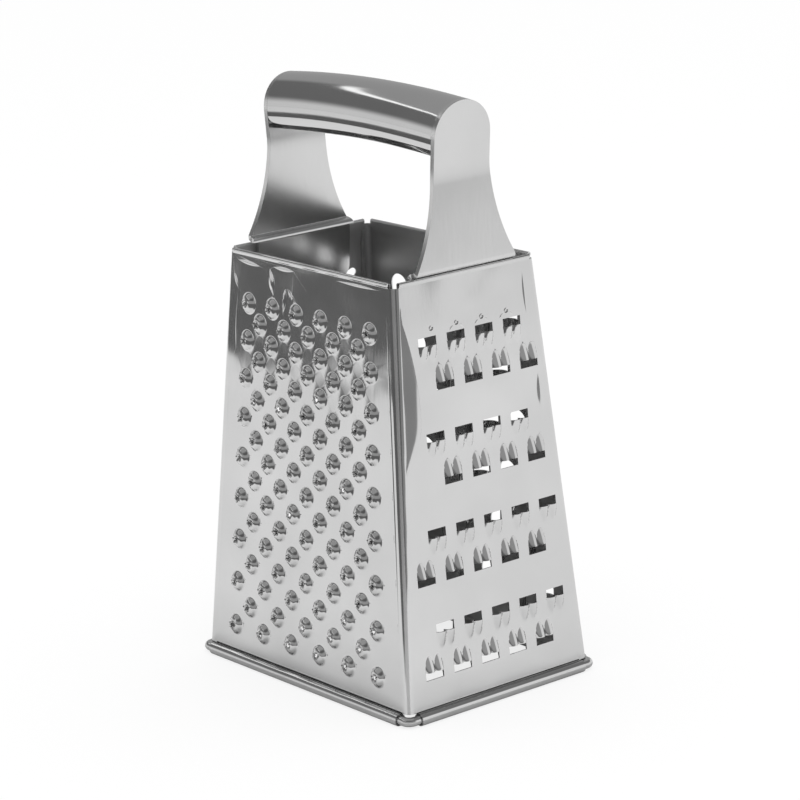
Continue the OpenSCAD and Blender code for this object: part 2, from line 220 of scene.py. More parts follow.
@dataclass(frozen=True)
class SteelFinish:
    """A stainless steel surface.

    Lengths are in metres, because the shader reads object coordinates. dull_inside is the
    roughness that the inner faces of the body have on top.
    """

    name: str
    roughness: float
    roughness_spread: float = 0.03
    tone: float = 0.6
    grain: Grain = Grain.UPRIGHT
    grain_depth: float = 2e-6
    wave_depth: float = 1e-4
    wave_length: float = 0.03
    smudge: float = 0.03
    dull_inside: float = 0.0
    cloud_scale: float = 26.0
    streak_scale: float = 2600.0
    cloud_share: float = 0.45
    skin: Pair = (-0.0005, -0.0003)

    def material(self) -> Material:
        """Builds the procedural material.

        Returns:
            The material, which reads only object coordinates.
        """
        made = bpy.data.materials.new(self.name)
        made.use_nodes = True
        shader = Shader(made.node_tree)
        surface = made.node_tree.nodes["Principled BSDF"]
        surface.inputs["Metallic"].default_value = 1.0
        place = shader.node("TexCoord", {}).outputs["Object"]
        cloud = shader.noise(place, Grain.NONE, self.cloud_scale, 3.0)
        streak = shader.noise(place, self.grain, self.streak_scale, 3.0)
        wave = shader.noise(place, Grain.NONE, 1.0 / self.wave_length, 1.0)
        colour = shader.ramp(cloud, (0.35, 0.7), (self.tone - self.smudge, self.tone + self.smudge))
        least, most = self.roughness - self.roughness_spread, self.roughness + self.roughness_spread
        rough = shader.ramp(shader.mix(self.cloud_share, streak, cloud), (0.3, 0.7), (least, most))
        if self.dull_inside:
            rough = shader.calculate("ADD", rough, self._inside(shader, place))
        relief = shader.bump(streak, self.grain_depth, shader.bump(wave, self.wave_depth))
        for name, value in (("Base Color", colour), ("Roughness", rough), ("Normal", relief)):
            made.node_tree.links.new(value, surface.inputs[name])
        return made

    def _inside(self, shader: Shader, place: Socket) -> Socket:
        """Roughness to add on the inner faces of the body.

        Args:
            shader: The material's nodes.
            place: The object coordinates.

        Returns:
            dull_inside on the inner faces and zero outside.
        """
        sizes = BodySizes()
        corner = shader.folded(place)
        depths = []
        for plate, across in ((sizes.narrow, (1.0, 0.0, 0.0)), (sizes.wide, (0.0, 1.0, 0.0))):
            facing = Vector(across) * math.cos(plate.lean) + Vector((0.0, 0.0, math.sin(plate.lean)))
            outside = plate.distance * math.cos(plate.lean) + sizes.foot_height * math.sin(plate.lean)
            depths.append(shader.calculate("SUBTRACT", shader.along(corner, facing), outside * MM))
        return shader.ramp(shader.calculate("MAXIMUM", *depths), self.skin, (self.dull_inside, 0.0))


@dataclass(frozen=True)
class Plate:
    """A wall's outline: half widths, distance of its foot from the body's middle, and lean."""

    half_foot: float
    half_rim: float
    distance: float
    lean: float


@dataclass(frozen=True)
class BodySizes:
    """Sizes of the sheet body, in millimetres, with what follows from them.

    hem_entry and roll_entry are points (outwards, downwards) on the way from the plate into the
    bead and the roll.
    """

    foot_width: float = 112.0
    foot_depth: float = 82.0
    rim_width: float = 89.0
    rim_depth: float = 62.5
    height: float = 145.0
    sheet: float = 0.5
    corner_radius: float = 2.5
    lap: float = 4.4
    hem_height: float = 4.0
    hem_entry: tuple[Pair, ...] = ((0.16, 1.62), (0.38, 1.36))
    hem_turns: range = range(-20, 181, 20)
    bead_radius: float = 0.8
    hem_end: float = 1.5
    plate_top_drop: float = 1.9
    roll_radius: float = 2.25
    roll_out: float = 3.0
    roll_end: float = 3.8
    roll_flat: float = 0.2
    roll_entry: tuple[Pair, ...] = ((-0.12, 0.5), (-0.4, 0.92))
    roll_turns: range = range(150, 459, 14)
    roll_inset: float = 0.008
    wire_gap: float = 0.15

    @property
    def roll_axis(self) -> float:
        """Distance of the roll's axis outside the foot of a wall."""
        return self.roll_out - self.roll_radius

    @property
    def roll_height(self) -> float:
        """Height of the roll's axis above the ground."""
        return self.roll_radius - self.roll_flat

    @property
    def foot_height(self) -> float:
        """Height at which the outer faces of the walls meet the roll."""
        return self.roll_height + math.sqrt(self.roll_radius**2 - self.roll_axis**2)

    @property
    def wide(self) -> Plate:
        """Outline of the wide walls."""
        lean = math.atan((self.foot_depth - self.rim_depth) / 2 / self.height)
        return Plate(self.foot_width / 2, self.rim_width / 2, self.foot_depth / 2, lean)

    @property
    def narrow(self) -> Plate:
        """Outline of the narrow walls."""
        lean = math.atan((self.foot_width - self.rim_width) / 2 / self.height)
        return Plate(self.foot_depth / 2, self.rim_depth / 2, self.foot_width / 2, lean)

    def length(self, plate: Plate) -> float:
        """Length of a wall up its slope."""
        return self.height / math.cos(plate.lean)

    def stand(self, plate: Plate) -> Matrix:
        """Matrix from a wall's flat frame to where it faces -Y."""
        away = Matrix.Translation((0.0, -plate.distance, self.foot_height))
        return away @ Matrix.Rotation(math.pi / 2 - plate.lean, 4, "X")

    @property
    def bend_turn(self) -> float:
        """Angle that a corner bend turns through."""
        return math.acos(math.sin(self.wide.lean) * math.sin(self.narrow.lean))

    @property
    def bend_run(self) -> float:
        """Width of sheet that a corner bend takes from each wall."""
        return self.corner_radius * math.tan(self.bend_turn / 2)


def spread(count: int, pitch: float) -> list[float]:
    """Places of the members of a row, from its middle."""
    return [(member - (count - 1) / 2) * pitch for member in range(count)]


def new_ring(bm: BMesh, edges: list[Edge]) -> tuple[list, list]:
    """Extrudes edges in place.

    Args:
        bm: The mesh.
        edges: The edges to extrude.

    Returns:
        The new vertices and the new edges that run beside the old ones.
    """
    made = bmesh.ops.extrude_edge_only(bm, edges=edges)["geom"]
    verts = [part for part in made if isinstance(part, Vert)]
    fresh = set(verts)
    rims = [part for part in made if isinstance(part, Edge) and fresh.issuperset(part.verts)]
    return verts, rims


def spin_on(
    bm: BMesh, parts: list, centre: Vector, axis: Vector, angle: float, steps: int
) -> list[Edge]:
    """Spins edges about an axis.

    Args:
        bm: The mesh.
        parts: The edges and their vertices.
        centre: A point on the axis.
        axis: Direction of the axis.
        angle: The whole turn.
        steps: Steps in the turn.

    Returns:
        The edges at the end of the turn.
    """
    spun = bmesh.ops.spin(
        bm, geom=parts, cent=centre, axis=axis, angle=angle, steps=steps, use_duplicate=False
    )
    return [part for part in spun["geom_last"] if isinstance(part, Edge)]


def open_edge_near(bm: BMesh, place: Vector) -> Edge:
    """Finds an open edge.

    Args:
        bm: The mesh.
        place: Where to look.

    Returns:
        The open edge whose middle is nearest to the place.
    """
    loose = [edge for edge in bm.edges if len(edge.link_faces) == 1]
    return min(loose, key=lambda e: ((e.verts[0].co + e.verts[1].co) / 2 - place).length)


def thicken(bm: BMesh, face: bmesh.types.BMFace, outwards: Vector, thickness: float) -> None:
    """Makes the faces of an open sheet agree and gives it its thickness, inwards.

    Args:
        bm: The sheet.
        face: One of its faces.
        outwards: Direction that this face has to look in.
        thickness: Thickness of the sheet.
    """
    bmesh.ops.recalc_face_normals(bm, faces=bm.faces)
    if face.normal.dot(outwards) < 0.0:
        bmesh.ops.reverse_faces(bm, faces=bm.faces)
    bm.normal_update()
    bmesh.ops.solidify(bm, geom=bm.faces[:], thickness=thickness)


def face_angle(edge: Edge) -> float:
    """Angle between the two faces of an edge, or zero where it has other than two."""
    return edge.calc_face_angle(0.0) if len(edge.link_faces) == 2 else 0.0


def soften(bm: BMesh, width: float, segments: int) -> None:
    """Bevels the square edges of a closed mesh.

    Args:
        bm: The mesh.
        width: Width of the bevel.
        segments: Steps across it.
    """
    bmesh.ops.bevel(
        bm,
        geom=[edge for edge in bm.edges if face_angle(edge) > SQUARE_EDGE],
        offset=width,
        offset_type="OFFSET",
        segments=segments,
        profile=0.5,
        affect="EDGES",
        clamp_overlap=True,
        material=-1,
    )


def to_mesh(bm: BMesh, name: str) -> bpy.types.Mesh:
    """Turns a bmesh into a mesh.

    Args:
        bm: The bmesh, which is freed.
        name: The mesh's name.

    Returns:
        The mesh.
    """
    mesh = bpy.data.meshes.new(name)
    bm.to_mesh(mesh)
    bm.free()
    return mesh


def add_object(name: str, data: bpy.types.ID) -> bpy.types.Object:
    """Puts an object into the scene.

    Args:
        name: Its name.
        data: Its mesh, light or camera.

    Returns:
        The object.
    """
    made = bpy.data.objects.new(name, data)
    bpy.context.scene.collection.objects.link(made)
    return made


def finish_piece(
    bm: BMesh, name: str, node: str, material: Material, smooth: float
) -> None:
    """Turns a mesh in millimetres into a finished piece that stands for a solid node.

    Args:
        bm: The mesh, closed and in the frame's axes.
        name: The piece's name.
        node: The solid node it stands for.
        material: Its finish.
        smooth: Angle in degrees up to which faces shade as one surface.
    """
    if bm.calc_volume(signed=True) < 0:
        bmesh.ops.reverse_faces(bm, faces=bm.faces)
    bmesh.ops.scale(bm, vec=(MM, MM, MM), verts=bm.verts)
    open_edges = sum(1 for edge in bm.edges if len(edge.link_faces) != 2)
    mesh = to_mesh(bm, name)
    mesh.materials.append(material)
    mesh.shade_smooth()
    mesh.set_sharp_from_angle(angle=math.radians(smooth))
    piece = add_object(name, mesh)
    even = piece.modifiers.new("even_shading", "WEIGHTED_NORMAL")
    even.keep_sharp = True
    even.weight = 80
    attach(piece, "root")
    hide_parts(node)
    LOG.info("%s: %d faces, %d open edges", name, len(mesh.polygons), open_edges)


class Pressing(ABC):
    """A shape that a press tool makes in the sheet, built flat on the plate's outer face.

    Its rim lies in the plane z = 0, so the plate can be filled round it.
    """

    @abstractmethod
    def shape(self) -> BMesh:
        """Builds the shape's outer face, in millimetres."""

    def mesh(self) -> bpy.types.Mesh:
        """A copy of the shape, as a mesh to stamp."""
        return to_mesh(self.shape(), "stamp")

    @staticmethod
    def settle(verts: list[Vert], radius: float, level: float) -> None:
        """Moves points to a distance from the shape's axis and a height.

        Args:
            verts: The points.
            radius: Their distance from the axis.
            level: Their height.
        """
        for vert in verts:
            flat = Vector((vert.co.x, vert.co.y)).normalized() * radius
            vert.co = Vector((flat.x, flat.y, level))

    @staticmethod
    def join(bm: BMesh, right: Vert, points: list[Vector], left: Vert) -> None:
        """Joins the ends of a lip by a chain of edges, which is the rest of its opening.

        Args:
            bm: The shape.
            right: The lip's right end.
            points: Corners of the opening, from right to left.
            left: The lip's left end.
        """
        chain = [right, *(bm.verts.new(point) for point in points), left]
        for one, other in zip(chain, chain[1:]):
            bm.edges.new((one, other))


@dataclass(frozen=True)
class RaspDome(Pressing):
    """A dome whose crown has burst outwards into sharp petals.

    The profile lists the dome's radius and height from its foot up to the burst, and dent is how
    far the dome is out of round, as a share. Each copy is a little different.
    """

    rng: random.Random
    profile: tuple[Pair, ...] = (
        (4.0, 0.0),
        (3.78, 0.04),
        (3.52, 0.15),
        (3.26, 0.37),
        (3.0, 0.7),
        (2.7, 1.07),
        (2.32, 1.4),
        (1.88, 1.62),
        (1.42, 1.74),
    )
    petal_height: float = 0.74
    petals: int = 5
    dent: float = 0.03
    petal_heights: Pair = (0.55, 1.0)
    petal_spreads: Pair = (0.92, 1.18)
    petal_rings: tuple[float, ...] = (0.4, 1.0)
    petal_point: float = 0.8
    notch_height: float = 0.1
    notch_pull: float = 0.3
    segments: int = 20

    def shape(self) -> BMesh:
        """Builds the dome from a circle that is drawn up ring by ring.

        Returns:
            The dome.
        """
        bm = bmesh.new()
        bmesh.ops.create_circle(bm, cap_ends=False, segments=self.segments, radius=self.profile[0][0])
        rims = bm.edges[:]
        for radius, level in self.profile[1:]:
            verts, rims = new_ring(bm, rims)
            self.settle(verts, radius, level)
            for vert in verts:
                vert.co *= 1.0 + self.rng.uniform(-self.dent, self.dent) * min(1.0, level)
        hole, crown = self.profile[-1]
        heights = [self.rng.uniform(*self.petal_heights) for _ in range(self.petals)]
        spreads = [self.rng.uniform(*self.petal_spreads) for _ in range(self.petals)]
        for share in self.petal_rings:
            verts, rims = new_ring(bm, rims)
            for vert in verts:
                turn = math.atan2(vert.co.y, vert.co.x) % math.tau
                petal = int(round(turn / math.tau * self.petals)) % self.petals
                tip = (0.5 + 0.5 * math.cos(self.petals * turn)) ** self.petal_point
                height = self.notch_height + (1.0 - self.notch_height) * tip * heights[petal]
                rise = self.petal_height * share * height
                reach = 1.0 + share * ((spreads[petal] - 1.0) * tip - self.notch_pull * (1.0 - tip))
                self.settle([vert], hole * reach, crown + rise)
        return bm


@dataclass(frozen=True)
class Scoop(Pressing):
    """A slot with one or more round scoops raised below it, each ending in a cutting lip.

    belly says how far the scoops keep their height below the lip; 1 is a straight run-out.
    """

    lobes: int
    lobe_half: float
    lobe_step: float
    length: float
    proud: float
    slot: float
    arched: bool
    columns: int
    rows: int
    belly: float = 1.4
    overrun: float = 1.04
    arch_steps: int = 14

    @property
    def half(self) -> float:
        """Half the width of the shape."""
        return self.lobe_step * (self.lobes - 1) / 2 + self.lobe_half

    def level(self, across: float, down: float) -> float:
        """Height of the scoops, each the outside of a round bar that dips below the plate.

        Args:
            across: Place across the shape.
            down: Distance below the lip.

        Returns:
            The height above the plate.
        """
        bar = (self.lobe_half**2 + self.proud**2) / (2.0 * self.proud)
        crest = self.proud * (1.0 - (max(0.0, down) / self.length) ** self.belly)
        best = 0.0
        for lobe in range(self.lobes):
            away = across - (lobe - (self.lobes - 1) / 2) * self.lobe_step
            best = max(best, crest - bar + math.sqrt(max(0.0, bar**2 - away**2)))
        return best

    def shape(self) -> BMesh:
        """Builds the scoops from a grid and the slot's edges above it.

        Returns:
            The scoops and their opening.
        """
        bm = bmesh.new()
        bmesh.ops.create_grid(bm, x_segments=self.columns, y_segments=self.rows, size=0.5)
        for vert in bm.verts:
            across = vert.co.x * 2.0 * self.half
            down = self.length * self.overrun * (0.5 - vert.co.y)
            vert.co = Vector((across, -down, self.level(across, down)))
        left = min(bm.verts, key=lambda v: v.co.x - v.co.y)
        right = max(bm.verts, key=lambda v: v.co.x + v.co.y)
        self.join(bm, right, self._opening(), left)
        return bm

    def _opening(self) -> list[Vector]:
        """Draws the opening above the lip.

        Returns:
            Its corners, from right to left.
        """
        half = self.half
        if self.arched:
            turns = [math.pi * k / self.arch_steps for k in range(self.arch_steps + 1)]
            side = self.slot - half
            return [Vector((half * math.cos(turn), side + half * math.sin(turn), 0.0)) for turn in turns]
        return [Vector((half, self.slot, 0.0)), Vector((-half, self.slot, 0.0))]


@dataclass(frozen=True)
class SmileBlade(Pressing):
    """A slicing slot that curves up at its ends, over a raised crescent with a blade edge."""

    width: float = 51.0
    slot: float = 3.6
    curve: float = 60.0
    proud: float = 2.2
    length: float = 9.0
    tip_length: float = 0.5
    tip_power: float = 0.6
    lift_power: float = 0.75
    belly: float = 1.5
    blade_share: float = 0.92
    columns: int = 40
    rows: int = 10

    def on_arc(self, radius: float, turn: float) -> Vector:
        """Point on an arc about the smile's centre, at an angle from straight down."""
        return Vector((radius * math.sin(turn), self.curve - radius * math.cos(turn), 0.0))

    def _round_end(self, end: float, start: float) -> list[Vector]:
        """Rounds an end of the slot.

        Args:
            end: Angle at which the end lies.
            start: Direction of the round's start.

        Returns:
            The points between its ends.
        """
        cap = self.on_arc(self.curve - self.slot / 2, end)
        swings = [start + math.pi * k / 8 for k in range(1, 8)]
        return [cap + Vector((math.cos(swing), math.sin(swing), 0.0)) * self.slot / 2 for swing in swings]

    def shape(self) -> BMesh:
        """Builds the crescent from a grid and the rest of the slot from edges.

        Returns:
            The crescent and its slot.
        """
        bm = bmesh.new()
        bmesh.ops.create_grid(bm, x_segments=self.columns, y_segments=self.rows, size=0.5)
        end = math.asin((self.width - self.slot) / 2 / (self.curve - self.slot / 2))
        tip = end * self.blade_share
        for vert in bm.verts:
            fade = max(0.0, 1.0 - (vert.co.x * 2.0) ** 2)
            down = 0.5 - vert.co.y
            reach = self.tip_length + (self.length - self.tip_length) * fade**self.tip_power
            lip = self.on_arc(self.curve, vert.co.x * 2.0 * tip)
            lift = self.proud * fade**self.lift_power * (1.0 - down**self.belly)
            vert.co = Vector((lip.x, lip.y - down * reach, lift))
        right = max(bm.verts, key=lambda v: v.co.x * 10.0 + v.co.y)
        left = min(bm.verts, key=lambda v: v.co.x * 10.0 - v.co.y)
        turns = [tip + (end - tip) * k / 3 for k in (1, 2, 3)]
        points = [self.on_arc(self.curve, turn) for turn in turns]
        points.extend(self._round_end(end, end - math.pi / 2))
        points.extend(self.on_arc(self.curve - self.slot, end * (1.0 - k / 12)) for k in range(25))
        points.extend(self._round_end(-end, math.pi / 2 - end))
        points.extend(self.on_arc(self.curve, -turn) for turn in reversed(turns))
        self.join(bm, right, points, left)
        return bm


@dataclass(frozen=True)
class WeldMark(Pressing):
    """The small ring that a spot weld leaves, with its rings as (share of the radius, height)."""

    radius: float = 0.95
    rings: tuple[Pair, ...] = ((0.8, -0.17), (0.62, -0.3), (0.42, -0.14))

    def shape(self) -> BMesh:
        """Builds the dimple from rings round its middle.

        Returns:
            The dimple.
        """
        bm = bmesh.new()
        bmesh.ops.create_circle(bm, cap_ends=False, segments=14, radius=self.radius)
        rims = bm.edges[:]
        for share, level in self.rings:
            verts, rims = new_ring(bm, rims)
            self.settle(verts, self.radius * share, level)
        bmesh.ops.contextual_create(bm, geom=rims)
        return bm


@dataclass(frozen=True)
class Crease(Pressing):
    """A low ridge that pressing left in the sheet, pointed at both ends.

    Its middle lies across from the wall's middle line and down from the rim, and its top leans to
    the left by some degrees. crest and widest are shares of its width and length; a flush one is
    straight and steep along its left side; border above 1 leaves its outermost part flat.
    """

    length: float
    width: float
    height: float
    across: float
    down: float
    lean: float
    crest: float = 0.5
    widest: float = 0.5
    flush: bool = False
    border: float = 1.0
    blunt: float = 0.08
    columns: int = 10
    rows: int = 22

    def shape(self) -> BMesh:
        """Builds the ridge from a grid that narrows towards its ends.

        Returns:
            The ridge.
        """
        bm = bmesh.new()
        bmesh.ops.create_grid(bm, x_segments=self.columns, y_segments=self.rows, size=0.5)
        for vert in bm.verts:
            along = min(max(vert.co.y * self.border + 0.5, 0.0), 1.0)
            span = 1.0 - self.widest if along > self.widest else self.widest
            fade = 1.0 - ((along - self.widest) / span) ** 2
            taper = max(self.blunt, fade)
            shift = (1.0 - taper) * self.width / 2 if self.flush else 0.0
            rise = self._rise(min(max(vert.co.x * self.border + 0.5, 0.0), 1.0))
            across = vert.co.x * self.width * taper - shift
            vert.co = Vector((across, vert.co.y * self.length, self.height * fade * rise))
        return bm

    def _rise(self, share: float) -> float:
        """Height across the ridge.

        Args:
            share: Place across it, as a share of its width from the left.

        Returns:
            The height, from 0 to 1.
        """
        if share >= self.crest:
            return 0.5 - 0.5 * math.cos(math.pi * (1.0 - share) / (1.0 - self.crest))
        if self.flush:
            return math.sin(math.pi / 2 * share / self.crest)
        return 0.5 - 0.5 * math.cos(math.pi * share / self.crest)


@dataclass
class PressedWall(ABC):
    """One wall of the body: plate, teeth, hem and rolled foot in one sheet."""

    sizes: BodySizes
    side: Side
    name: str
    node: str

    @property
    @abstractmethod
    def plate(self) -> Plate:
        """The wall's outline."""

    @abstractmethod
    def press(self, bm: BMesh) -> None:
        """Stamps the wall's teeth.

        Args:
            bm: The wall's mesh.
        """

    @property
    def length(self) -> float:
        """Length of the wall up its slope."""
        return self.sizes.length(self.plate)

    @property
    def taper(self) -> float:
        """Angle between a side edge and the wall's middle line."""
        return math.atan((self.plate.half_foot - self.plate.half_rim) / self.length)

    def half_at(self, up: float) -> float:
        """Half the plate's width at a place up its slope."""
        edge = self.plate.half_foot - self.sizes.bend_run / math.cos(self.taper)
        return edge - up * math.tan(self.taper)

    def stamp(self, bm: BMesh, mesh: bpy.types.Mesh, across: float, down: float, turn: float) -> None:
        """Copies a pressing into the wall.

        Args:
            bm: The wall's mesh.
            mesh: The pressing.
            across: Its place across the wall.
            down: Its place below the rim.
            turn: Its turn in the wall's plane.
        """
        copy = mesh.copy()
        spot = Matrix.Translation((across, self.length - down, 0.0))
        copy.transform(spot @ Matrix.Rotation(turn, 4, "Z"))
        bm.from_mesh(copy)
        bpy.data.meshes.remove(copy)

    def crease(self, bm: BMesh, creases: tuple[Crease, ...]) -> None:
        """Presses creases into the wall.

        Args:
            bm: The wall's mesh.
            creases: The creases, each with its place.
        """
        for crease in creases:
            self.stamp(bm, crease.mesh(), crease.across, crease.down, math.radians(crease.lean))

    def build(self, material: Material) -> None:
        """Builds the wall's piece.

        Args:
            material: Its finish.
        """
        sizes = self.sizes
        bm = bmesh.new()
        self.press(bm)
        top = self.length - sizes.plate_top_drop
        roll_half = self.plate.half_foot - sizes.roll_end
        hem_half = min(self.plate.half_rim - sizes.hem_end, self.half_at(top))
        right = [(roll_half, 0.0), (self.half_at(0.0), 0.0), (self.half_at(top), top), (hem_half, top)]
        left = [(-across, up) for across, up in reversed(right)]
        ring = [bm.verts.new((across, up, 0.0)) for across, up in [*left[2:], *right, *left[:2]]]
        for vert, other in zip(ring, [*ring[1:], ring[0]]):
            if (vert.co - other.co).length > sizes.sheet / 10:
                bm.edges.new((vert, other))
        bmesh.ops.remove_doubles(bm, verts=bm.verts, dist=MERGE)
        self._fill(bm)
        self._hem(bm, [open_edge_near(bm, Vector((0.0, top, 0.0)))])
        self._fold(bm, top)
        bmesh.ops.transform(bm, matrix=sizes.stand(self.plate), verts=bm.verts)
        self._roll(bm)
        bmesh.ops.remove_doubles(bm, verts=bm.verts, dist=MERGE)
        largest = max(bm.faces, key=lambda f: f.calc_area())
        thicken(bm, largest, Vector((0.0, -1.0, 0.0)), sizes.sheet)
        for vert in bm.verts:
            vert.co.z = max(vert.co.z, 0.0)
        bmesh.ops.transform(bm, matrix=self.side.turn, verts=bm.verts)
        finish_piece(bm, self.name, self.node, material, SHEET_SMOOTH)

    @staticmethod
    def _fill(bm: BMesh) -> None:
        """Fills the plate between its outline and the rims of the pressings.

        Args:
            bm: The wall, flat.
        """
        low = [e for e in bm.edges if all(abs(v.co.z) < FLAT for v in e.verts)]
        flat = [e for e in low if len(e.link_faces) < 2]
        out = (0.0, 0.0, 1.0)
        bmesh.ops.triangle_fill(bm, edges=flat, use_beauty=True, use_dissolve=False, normal=out)

    def _hem(self, bm: BMesh, rims: list[Edge]) -> None:
        """Rolls the bead along the rim and folds the sheet down inside.

        Args:
            bm: The wall, flat.
            rims: The plate's top edge.
        """
        sizes = self.sizes
        bead = sizes.bead_radius
        inwards = 2.0 * sizes.sheet
        path = list(sizes.hem_entry)
        for degrees in sizes.hem_turns:
            turn = math.radians(degrees)
            path.append((bead - inwards + bead * math.cos(turn), bead - bead * math.sin(turn)))
        path.append((-inwards, sizes.hem_height))
        for out, down in path:
            verts, rims = new_ring(bm, rims)
            for vert in verts:
                vert.co.y = self.length - down
                vert.co.z = out

    def _roll(self, bm: BMesh) -> None:
        """Curls the foot of the sheet round the wire.

        Args:
            bm: The wall, where it faces -Y.
        """
        sizes = self.sizes
        foot = Vector((0.0, -self.plate.distance, sizes.foot_height))
        rims = [open_edge_near(bm, foot)]
        core = sizes.roll_radius - sizes.sheet - sizes.roll_inset
        path = [(out, sizes.foot_height - down) for out, down in sizes.roll_entry]
        for degrees in sizes.roll_turns:
            turn = math.radians(degrees)
            out, height = core * math.cos(turn), core * math.sin(turn)
            path.append((sizes.roll_axis + out, sizes.roll_height + height))
        for out, height in path:
            verts, rims = new_ring(bm, rims)
            for vert in verts:
                vert.co.y = -self.plate.distance - out
                vert.co.z = height

    def _fold(self, bm: BMesh, top: float) -> None:
        """Bends the side edges into the corners. A wall that ends at the corner has none."""


class WideWall(PressedWall):
    """A wide wall, which turns the body's corners and laps behind the narrow walls.

    The flange begins with a step inwards, whose run and sink are in sheet thicknesses.
    """

    bend_steps: int = 7
    step_run: float = 1.4
    step_sink: float = 1.04

    @property
    def plate(self) -> Plate:
        """The wall's outline."""
        return self.sizes.wide

    def _fold(self, bm: BMesh, top: float) -> None:
        """Spins each side edge round its bend and draws out the lap flange.

        Args:
            bm: The wall, flat.
            top: Height of the plate's top edge.
        """
        sizes = self.sizes
        step = (sizes.sheet * self.step_run, sizes.sheet * self.step_sink)
        flange = (sizes.lap - sizes.bend_run - step[0], 0.0)
        for hand in (-1.0, 1.0):
            side = open_edge_near(bm, Vector((hand * self.half_at(top / 2), top / 2, 0.0)))
            along = Vector((-hand * math.tan(self.taper), 1.0, 0.0)).normalized()
            centre = side.verts[0].co + Vector((0.0, 0.0, -sizes.corner_radius))
            turn = hand * sizes.bend_turn
            rims = spin_on(bm, [side, *side.verts], centre, along, turn, self.bend_steps)
            spin = Matrix.Rotation(turn, 3, along)
            onwards = spin @ Vector((hand, 0.0, 0.0))
            inwards = spin @ Vector((0.0, 0.0, -1.0))
            for run, sink in (step, flange):
                verts, rims = new_ring(bm, rims)
                bmesh.ops.translate(bm, vec=onwards * run + inwards * sink, verts=verts)
            high = max(verts, key=lambda v: v.co.y)
            low = min(verts, key=lambda v: v.co.y)
            high.co -= along * (sizes.hem_height - sizes.plate_top_drop + sizes.lap)
            low.co += along * sizes.lap


class NarrowWall(PressedWall):
    """A narrow wall, which ends at the corner bends and carries a leg.

    The leg's spot welds lie weld_pitch apart and weld_drop below the rim.
    """

    welds: int = 4
    weld_pitch: float = 11.1
    weld_drop: float = 17.3

    @property
    def plate(self) -> Plate:
        """The wall's outline."""
        return self.sizes.narrow

    def press_welds(self, bm: BMesh) -> None:
        """Stamps the marks of the leg's spot welds.

        Args:
            bm: The wall's mesh.
        """
        mesh = WeldMark().mesh()
        for across in spread(self.welds, self.weld_pitch):
            self.stamp(bm, mesh, across, self.weld_drop, 0.0)


class RaspWall(WideWall):
    """The wall with burst domes, in full rows and in-between rows."""

    first_drop: float = 18.4
    row_pitch: float = 13.3
    row_growth: float = 0.39
    dome_pitch: float = 13.2
    pitch_growth: float = 2.7
    full_rows: int = 9
    row_domes: int = 6
    domes_made: int = 6
    creases: tuple[Crease, ...] = (
        Crease(9.0, 3.6, 0.4, -20.3, 9.0, 12.0),
        Crease(11.0, 1.6, 0.14, -13.6, 3.6, 90.0),
        Crease(8.4, 2.4, 0.32, -13.3, 14.6, -8.0),
        Crease(4.0, 1.7, 0.22, -9.9, 11.6, 46.0),
        Crease(6.0, 1.6, 0.22, -40.4, 11.0, 24.0),
        Crease(20.0, 1.6, 0.2, -40.0, 25.4, -3.0),
        Crease(134.0, 1.6, 0.14, 46.7, 75.0, 4.5),
        Crease(98.0, 1.6, 0.14, -48.0, 91.0, -4.5),
        Crease(12.0, 1.6, 0.1, -33.0, 4.2, 87.0),
        Crease(21.0, 1.0, 0.06, 26.0, 3.2, 90.0),
    )

    def press(self, bm: BMesh) -> None:
        """Stamps the domes in rows that widen towards the foot, and the creases.

        Args:
            bm: The wall's mesh.
        """
        rng = random.Random(SEED)
        dome = RaspDome(rng)
        stamps = [dome.mesh() for _ in range(self.domes_made)]
        growths = [self.row_growth * k * (k - 1) / 2 for k in range(self.full_rows)]
        downs = [self.first_drop + self.row_pitch * k + growth for k, growth in enumerate(growths)]
        for k in range(2 * self.full_rows - 1):
            whole, between = divmod(k, 2)
            down = (downs[whole] + downs[whole + between]) / 2
            count = self.row_domes - between
            pitch = self.dome_pitch + self.pitch_growth * (down - downs[0]) / (downs[-1] - downs[0])
            for across in spread(count, pitch):
                mesh = rng.choice(stamps)
                turn = math.tau * rng.randrange(dome.segments) / dome.segments
                self.stamp(bm, mesh, across, down, turn)
        self.crease(bm, self.creases)


class CoarseWall(WideWall):
    """The wall with coarse arched openings over deep scoops."""

    tooth: Scoop = Scoop(
        lobes=1,
        lobe_half=4.4,
        lobe_step=0.0,
        length=12.0,
        proud=2.3,
        slot=7.8,
        arched=True,
        columns=24,
        rows=16,
    )
    rows: tuple[int, ...] = (5, 4, 5, 4, 5, 6)
    first_drop: float = 26.4
    row_pitch: float = 20.1
    tooth_pitch: float = 14.7

    def press(self, bm: BMesh) -> None:
        """Stamps the openings in staggered rows.

        Args:
            bm: The wall's mesh.
        """
        mesh = self.tooth.mesh()
        for k, count in enumerate(self.rows):
            down = self.first_drop + k * self.row_pitch
            for across in spread(count, self.tooth_pitch):
                self.stamp(bm, mesh, across, down, 0.0)


